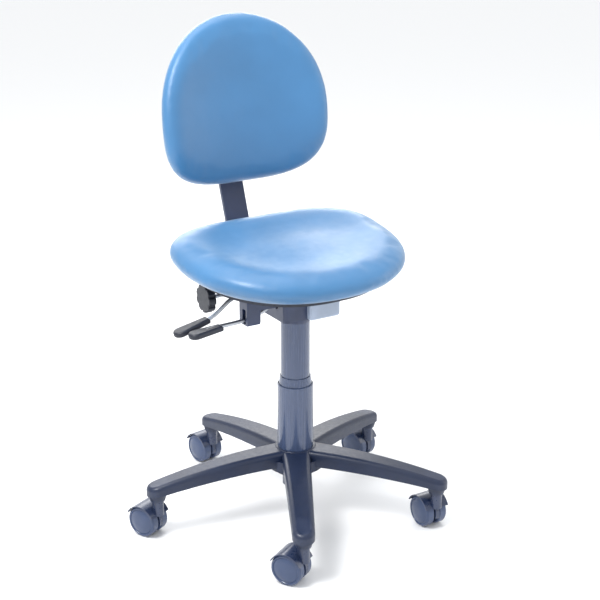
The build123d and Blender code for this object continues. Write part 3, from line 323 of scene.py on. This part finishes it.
def remesh(piece, voxel):
    modifier = piece.modifiers.new("remesh", "REMESH")
    modifier.mode = "VOXEL"
    modifier.voxel_size = voxel
    apply_modifiers(piece)


def smooth(piece, repeats):
    modifier = piece.modifiers.new("smooth", "SMOOTH")
    modifier.factor = 0.5
    modifier.iterations = repeats
    apply_modifiers(piece)


def inflate(piece, held, pressure, cap):
    """Swell the piece as cloth over foam: held weighs each point's hold on the board, 0 to 1."""
    before = coordinates(piece.data)
    group = piece.vertex_groups.new(name="held")
    for index, weight in enumerate(held(before)):
        group.add([index], float(weight), "REPLACE")
    cloth = piece.modifiers.new("cloth", "CLOTH")
    settings = cloth.settings
    settings.quality = 6
    settings.mass = 0.25
    settings.tension_stiffness = 18
    settings.compression_stiffness = 18
    settings.shear_stiffness = 8
    settings.bending_stiffness = 1.5
    settings.use_pressure = True
    settings.uniform_pressure_force = pressure
    settings.vertex_group_mass = "held"
    settings.effector_weights.gravity = 0
    cloth.point_cache.frame_start = 1
    cloth.point_cache.frame_end = SWELL_FRAMES
    for number in range(1, SWELL_FRAMES + 1):
        bpy.context.scene.frame_set(number)
    depsgraph = bpy.context.evaluated_depsgraph_get()
    swollen = coordinates(piece.evaluated_get(depsgraph).to_mesh())
    piece.modifiers.clear()
    bpy.context.scene.frame_set(1)
    move = swollen - before
    reach = np.linalg.norm(move, axis=1, keepdims=True)
    move *= np.minimum(1.0, cap / np.maximum(reach, 1e-9))
    set_coordinates(piece.data, before + move)
    piece.vertex_groups.clear()


def finish_soft(piece, levels=1):
    modifier = piece.modifiers.new("subdivide", "SUBSURF")
    modifier.levels = modifier.render_levels = levels
    apply_modifiers(piece)
    piece.data.polygons.foreach_set("use_smooth", [True] * len(piece.data.polygons))
    piece.data.materials.clear()
    piece.data.materials.append(materials["vinyl_blue"])


# ---- seat ----
SEAT_OUTLINE = (0.2225, 0.214, 0.138, 2.37, 3.0, 0.07)
SEAT_MIDDLE = 0.032
SEAT_PITCH = radians(4.5)
RIM_Z = 0.496
BOARD_TOP = 0.498
# Inset from the outline and height above the rim, from under the seat round the edge to the top.
SEAT_PROFILE = [(0.120, 0.0), (0.080, 0.0), (0.052, 0.0), (0.043, 0.0005), (0.031, 0.004),
                (0.018, 0.0105), (0.008, 0.018), (0.002, 0.026), (0.0, 0.034), (0.0015, 0.041),
                (0.006, 0.048), (0.013, 0.0535), (0.022, 0.0572), (0.033, 0.0590),
                (0.046, 0.0590), (0.062, 0.0572), (0.080, 0.0545), (0.100, 0.0525),
                (0.118, 0.0515)]
SEAT_HEIGHT = 0.059
FRONT_DROP = 0.010
REAR_LIFT = 0.009
FRONT_REACH = 0.18
REAR_REACH = 0.17
BOARD_GAP = 0.0004


def seat_point(x, y, height):
    share = height / SEAT_HEIGHT
    z = RIM_Z + y * sin(SEAT_PITCH) + height * cos(SEAT_PITCH)
    if y < 0:
        z -= FRONT_DROP * share * (y / FRONT_REACH) ** 2
    else:
        z += REAR_LIFT * share * (y / REAR_REACH) ** 2
    if height == 0:
        z = max(z, BOARD_TOP + BOARD_GAP)
    return x, y - height * sin(SEAT_PITCH), z


def seat_cushion():
    cushion = closed_pad("seat_upholstery", SEAT_OUTLINE, SEAT_MIDDLE, SEAT_PROFILE, seat_point)
    remesh(cushion, SEAT_VOXEL)
    smooth(cushion, SMOOTH_REPEATS)

    def held(points):
        rim = RIM_Z + HOLD_DEPTH
        return np.clip((rim + points[:, 1] * sin(SEAT_PITCH) - points[:, 2]) / HOLD_FADE, 0, 1)

    inflate(cushion, held, SWELL_PRESSURE, SWELL_CAP)
    smooth(cushion, SETTLE_REPEATS)
    finish_soft(cushion)
    return cushion


# ---- back ----
knob_joint = joints["height_knob_turn"]
BACK_ORIGIN = Vector(knob_joint["pos_m"])
BACK_OUT = Vector(knob_joint["axis"])
BACK_UP = Vector(joints["back_height"]["axis"])
BACK_OUTLINE = (0.176, 0.139, 0.186, 3.2, 2.1, 0.0)
BACK_MIDDLE = -0.025
BACK_REAR = 0.0322
BACK_DEPTH = 0.040
BACK_HOLLOW = 0.470
LUMBAR_HEIGHT = -0.055
LUMBAR_SWELL = 0.004
LUMBAR_REACH = 0.09
BACK_PROFILE = [(0.120, 0.0), (0.060, 0.0), (0.016, 0.0), (0.008, 0.0015), (0.003, 0.006),
                (0.0005, 0.012), (0.0, 0.019), (0.002, 0.026), (0.006, 0.032), (0.012, 0.0365),
                (0.020, 0.0392), (0.032, 0.0402), (0.060, 0.0400), (0.090, 0.0392),
                (0.120, 0.0388)]


def back_point(x, y, height):
    """From the back's own plane, across, up and out towards the sitter, to the row frame."""
    share = height / BACK_DEPTH
    hollow = BACK_HOLLOW - sqrt(BACK_HOLLOW ** 2 - x * x)
    lumbar = LUMBAR_SWELL * share * max(0.0, 1 - ((y - LUMBAR_HEIGHT) / LUMBAR_REACH) ** 2) ** 2
    out = BACK_REAR + height + hollow + lumbar
    return BACK_ORIGIN + Vector((1, 0, 0)) * x + BACK_UP * y + BACK_OUT * out


def back_cushion():
    cushion = closed_pad("back_upholstery", BACK_OUTLINE, BACK_MIDDLE, BACK_PROFILE, back_point)
    remesh(cushion, BACK_VOXEL)
    smooth(cushion, SMOOTH_REPEATS)

    def held(points):
        local = points - np.array(BACK_ORIGIN)
        out = local @ np.array(BACK_OUT)
        hollow = BACK_HOLLOW - np.sqrt(BACK_HOLLOW ** 2 - np.clip(points[:, 0], -0.2, 0.2) ** 2)
        return np.clip((BACK_REAR + HOLD_DEPTH - (out - hollow)) / HOLD_FADE, 0, 1)

    inflate(cushion, held, SWELL_PRESSURE, SWELL_CAP)
    smooth(cushion, SETTLE_REPEATS)
    finish_soft(cushion)
    return cushion


seat_pad = seat_cushion()
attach(seat_pad, "seat")
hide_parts("seat_cushion")

back_pad = back_cushion()
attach(back_pad, "backrest")
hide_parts("back_cushion")


# ---------------------------------------------------------------- studio
FLOOR_HALF = 12.0


def floor():
    mesh = bpy.data.meshes.new("studio_floor")
    corners = [(-FLOOR_HALF, -FLOOR_HALF, 0), (FLOOR_HALF, -FLOOR_HALF, 0),
               (FLOOR_HALF, FLOOR_HALF, 0), (-FLOOR_HALF, FLOOR_HALF, 0)]
    mesh.from_pydata(corners, [], [(0, 1, 2, 3)])
    plane = bpy.data.objects.new("studio_floor", mesh)
    bpy.context.collection.objects.link(plane)
    material, tree, shader = new_material("studio_white", (0.93, 0.935, 0.94), 0.7)
    plane.data.materials.append(material)


def area_light(name, place, target, size, power, color=(1, 1, 1)):
    data = bpy.data.lights.new(name, "AREA")
    data.shape = "RECTANGLE"
    data.size, data.size_y = size
    data.energy = power
    data.color = color
    light = bpy.data.objects.new(name, data)
    light.location = place
    light.rotation_euler = (Vector(target) - Vector(place)).to_track_quat("-Z", "Y").to_euler()
    bpy.context.collection.objects.link(light)


CAMERA_AZIMUTH = radians(-31.0)
CAMERA_PITCH = radians(19.43)
CAMERA_PLACE = (0.009, -2.512, 1.3265)      # across, away and up
CAMERA_LENS = 85.3


def from_camera_side(across, away, up):
    """A point given across, away from and above the stool as the camera sees it."""
    return (across * cos(CAMERA_AZIMUTH) - away * sin(CAMERA_AZIMUTH),
            across * sin(CAMERA_AZIMUTH) + away * cos(CAMERA_AZIMUTH), up)


def studio():
    world = bpy.data.worlds.new("studio")
    world.use_nodes = True
    tree = world.node_tree
    where = tree.nodes.new("ShaderNodeTexCoord")
    split = tree.nodes.new("ShaderNodeSeparateXYZ")
    tree.links.new(where.outputs["Generated"], split.inputs["Vector"])
    sky = ramp(tree, split.outputs["Z"], (0.0, (0.97, 0.98, 1.0)), (0.35, (1.0, 1.0, 1.0)),
               (1.0, (0.96, 0.98, 1.0)))
    tree.links.new(sky, tree.nodes["Background"].inputs["Color"])
    tree.nodes["Background"].inputs["Strength"].default_value = 1.0
    bpy.context.scene.world = world
    floor()
    target = (0, 0, 0.45)
    area_light("key", from_camera_side(-1.2, -1.0, 2.7), target, (0.8, 0.8), 36)
    area_light("side", from_camera_side(2.4, 0.4, 1.0), target, (0.7, 2.0), 8)
    area_light("top", from_camera_side(-0.3, 0.6, 2.8), target, (1.8, 1.8), 22)
    area_light("rear", from_camera_side(-0.5, 2.4, 1.35), target, (2.2, 1.0), 24)
    # Close to the back pad, so that its top is brighter than its bottom.
    area_light("crown", from_camera_side(-0.65, -0.75, 1.5), (-0.05, 0.2, 0.88), (0.5, 0.5), 9)


def camera():
    data = bpy.data.cameras.new("camera")
    data.sensor_width = 36.0
    data.lens = CAMERA_LENS
    data.clip_end = 60
    eye = bpy.data.objects.new("camera", data)
    eye.location = from_camera_side(*CAMERA_PLACE)
    eye.rotation_euler = (pi / 2 - CAMERA_PITCH, 0, CAMERA_AZIMUTH)
    bpy.context.collection.objects.link(eye)
    bpy.context.scene.camera = eye


studio()
camera()
bpy.context.scene.view_settings.view_transform = "Standard"
